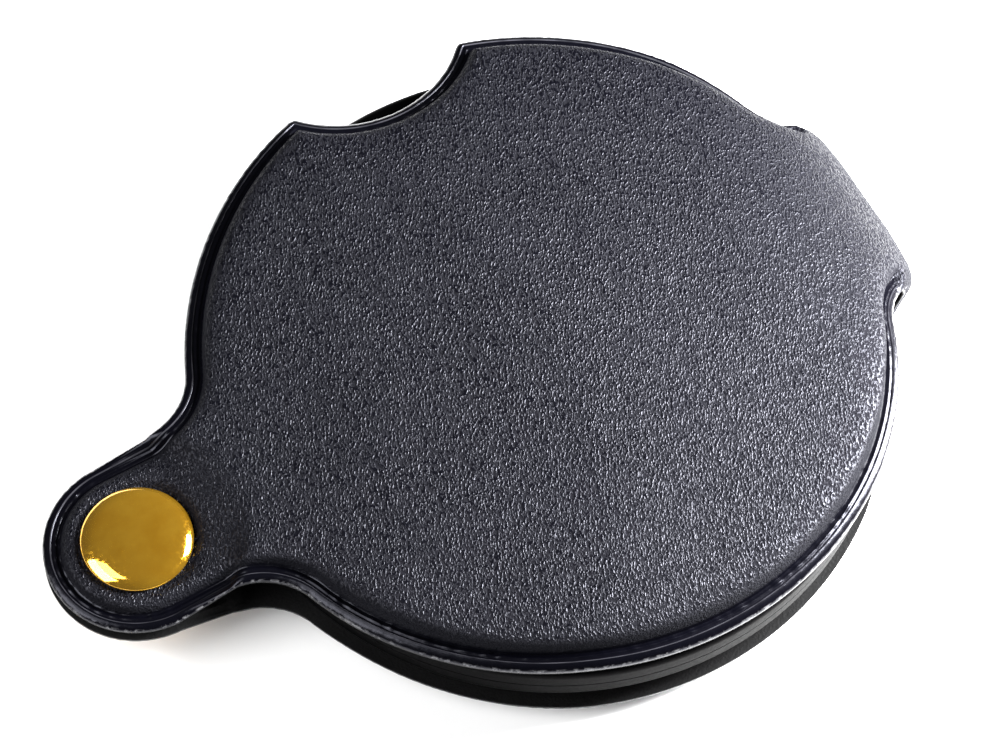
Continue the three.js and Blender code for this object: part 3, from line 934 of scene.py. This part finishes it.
def matte_backing():
    """The dull black ply inside the sleeve."""
    n = Nodes("matte_backing")
    weave = n.noise(4200, 3.0)
    patch = n.noise(260, 2.0)
    color = n.mix_color(patch.outputs["Fac"], (0.0015, 0.0015, 0.0017), (0.004, 0.004, 0.0042))
    n.set(
        Base_Color=color,
        Roughness=n.ramp(weave.outputs["Fac"], 0.3, 0.7, 0.7, 0.9),
        Normal=n.bump(weave.outputs["Fac"], 0.00008),
        Specular_IOR_Level=0.12,
    )
    return n.material


def gilt():
    """Lacquered gilt, slightly stained, specked and scratched."""
    n = Nodes("gilt")
    stain = n.noise(380, 4.0, 0.6)
    specks = n.noise(2600, 3.0, 0.6)
    scratch = n.noise(900, 2.0, 0.5, 1.2)
    stained = n.ramp(stain.outputs["Fac"], 0.35, 0.7)
    color = n.mix_color(stained, (0.92, 0.50, 0.035), (0.80, 0.40, 0.02))
    rough = n.math("ADD", n.ramp(specks.outputs["Fac"], 0.45, 0.75, 0.0, 0.14), 0.06)
    n.set(
        Base_Color=color,
        Metallic=0.93,
        Coat_Weight=1.0,
        Coat_Roughness=0.05,
        Roughness=rough,
        Normal=n.bump(scratch.outputs["Fac"], 0.000012),
    )
    return n.material


def black_plastic():
    """Satin black moulding."""
    n = Nodes("black_plastic")
    flow = n.noise(240, 3.0)
    fine = n.noise(3800, 2.0)
    color = n.mix_color(flow.outputs["Fac"], (0.0003, 0.0003, 0.0004), (0.0007, 0.0007, 0.0008))
    n.set(
        Base_Color=color,
        Roughness=n.ramp(fine.outputs["Fac"], 0.3, 0.7, 0.42, 0.52),
        Normal=n.bump(fine.outputs["Fac"], 0.000008),
        Specular_IOR_Level=0.01,
    )
    return n.material


def clear_glass():
    """Clear glass with a little dust."""
    n = Nodes("clear_glass")
    dust = n.noise(1500, 4.0, 0.7)
    n.set(
        Base_Color=(0.97, 0.99, 0.985),
        Roughness=n.ramp(dust.outputs["Fac"], 0.62, 0.8, 0.0, 0.05),
        IOR=1.5,
        Transmission_Weight=1.0,
    )
    return n.material


def board():
    """Grey-brown fibre board, hidden inside the leaves."""
    n = Nodes("stiffener_board")
    fibre = n.noise(1800, 4.0, 0.65)
    color = n.mix_color(fibre.outputs["Fac"], (0.20, 0.17, 0.13), (0.33, 0.29, 0.23))
    n.set(Base_Color=color, Roughness=0.9, Normal=n.bump(fibre.outputs["Fac"], 0.00005))
    return n.material


def foam():
    """Dark foam, hidden under the panels."""
    n = Nodes("foam_padding")
    pores = n.add("ShaderNodeTexVoronoi")
    pores.inputs["Scale"].default_value = 4000
    n.link(n.place, pores.inputs["Vector"])
    color = n.mix_color(pores.outputs["Distance"], (0.02, 0.02, 0.022), (0.06, 0.06, 0.065))
    n.set(Base_Color=color, Roughness=0.95, Normal=n.bump(pores.outputs["Distance"], 0.0001))
    return n.material


def dress(piece, material):
    piece.data.materials.clear()
    piece.data.materials.append(material)


store_pattern(cover, SKIN_PATTERN, skin_outer)
GILT, BLACK, BOARD, FOAM = gilt(), black_plastic(), board(), foam()
dress(cover, leatherette())
dress(backing, matte_backing())
for piece in (upper_cap, lower_cap):
    dress(piece, GILT)
for piece in (ring, retainer):
    dress(piece, BLACK)
dress(glass, clear_glass())

for name in ("rivet_post", "rivet_tube"):
    dress(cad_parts[name], GILT)
for name in ("upper_stiffener", "lower_stiffener"):
    dress(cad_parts[name], BOARD)
for name in ("upper_padding", "lower_padding"):
    dress(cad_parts[name], FOAM)

# ------------------------------------------------------------------ bodies

for piece, body, slot, node in (
    (cover, "sleeve", "skin", "sleeve_skin"),
    (backing, "sleeve", "lining", "sleeve_lining"),
    (upper_cap, "sleeve", "rivet_cap", "rivet_upper_cap"),
    (lower_cap, "sleeve", "rivet_cap", "rivet_lower_cap"),
    (ring, "lens_unit", "frame", "lens_frame"),
    (retainer, "lens_unit", "frame", "lens_retaining_ring"),
    (glass, "lens_unit", "lens", "lens"),
):
    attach(piece, body)
    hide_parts(node)

# ------------------------------------------------------------------ floor, light, camera

FLOOR_HALF = 3.0          # metres
FLOOR_GAP = 0.0002        # metres under the CAD box, clear of the relief


def make_floor():
    mesh = bpy.data.meshes.new("floor")
    corners = [(-1, -1), (1, -1), (1, 1), (-1, 1)]
    mesh.from_pydata([(x * FLOOR_HALF, y * FLOOR_HALF, 0) for x, y in corners], [], [(0, 1, 2, 3)])
    floor = bpy.data.objects.new("floor", mesh)
    bpy.context.scene.collection.objects.link(floor)
    floor.location.z = cad_box[0][2] - FLOOR_GAP
    n = Nodes("floor")
    paper = n.noise(40, 2.0)
    color = n.mix_color(paper.outputs["Fac"], (0.90, 0.90, 0.90), (0.93, 0.93, 0.93))
    n.set(Base_Color=color, Roughness=0.9)
    dress(floor, n.material)


def softbox(name, place, aim, size, radiance):
    """A soft rectangular light, at a place in millimetres about the rivet."""
    data = bpy.data.lights.new(name, "AREA")
    data.shape = "RECTANGLE"
    data.size, data.size_y = size[0] * MM, size[1] * MM
    data.energy = radiance * math.pi * data.size * data.size_y
    light = bpy.data.objects.new(name, data)
    bpy.context.scene.collection.objects.link(light)
    direction = Vector(aim) - Vector(place)
    facing = direction.to_track_quat("-Z", "Y").to_matrix().to_4x4()
    light.matrix_world = Matrix.Translation(RIVET + Vector(place) * MM) @ facing
    light.visible_camera = False


make_floor()
world = bpy.data.worlds.new("studio")
bpy.context.scene.world = world
world.use_nodes = True
background = world.node_tree.nodes["Background"]
background.inputs["Color"].default_value = (1.0, 1.0, 1.0, 1.0)
background.inputs["Strength"].default_value = 0.10

softbox("overhead_softbox", (-178, 36, 354), (0, 0, 0), (185, 165), 6.0)
softbox("right_softbox", (130, -28, 56), (60, -10, 0), (60, 76), 150.0)
softbox("left_softbox", (-270, 20, 190), (0, 0, 0), (220, 220), 12.0)

VIEW_AZIMUTH = math.radians(-33.96)
VIEW_HEIGHT = math.radians(62.26)
VIEW_ROLL = math.radians(5.66)
VIEW_DISTANCE = 281.4
VIEW_TARGET = Vector((36.85, 0.41, 0.0))
FOCAL_PER_WIDTH = 3.068

camera_data = bpy.data.cameras.new("camera")
camera = bpy.data.objects.new("camera", camera_data)
bpy.context.scene.collection.objects.link(camera)
bpy.context.scene.camera = camera
camera_data.sensor_width = 36.0
camera_data.lens = FOCAL_PER_WIDTH * camera_data.sensor_width
back = Vector(
    (
        math.sin(VIEW_AZIMUTH) * math.cos(VIEW_HEIGHT),
        -math.cos(VIEW_AZIMUTH) * math.cos(VIEW_HEIGHT),
        math.sin(VIEW_HEIGHT),
    )
)
level_right = Vector((0, 0, 1)).cross(back).normalized()
level_up = back.cross(level_right)
right = math.cos(VIEW_ROLL) * level_right + math.sin(VIEW_ROLL) * level_up
up = -math.sin(VIEW_ROLL) * level_right + math.cos(VIEW_ROLL) * level_up
orientation = Matrix((right, up, back)).transposed().to_4x4()
place = RIVET + (VIEW_TARGET + back * VIEW_DISTANCE) * MM
camera.matrix_world = Matrix.Translation(place) @ orientation
camera_data.clip_start = 0.01

bpy.context.scene.view_settings.view_transform = "Standard"
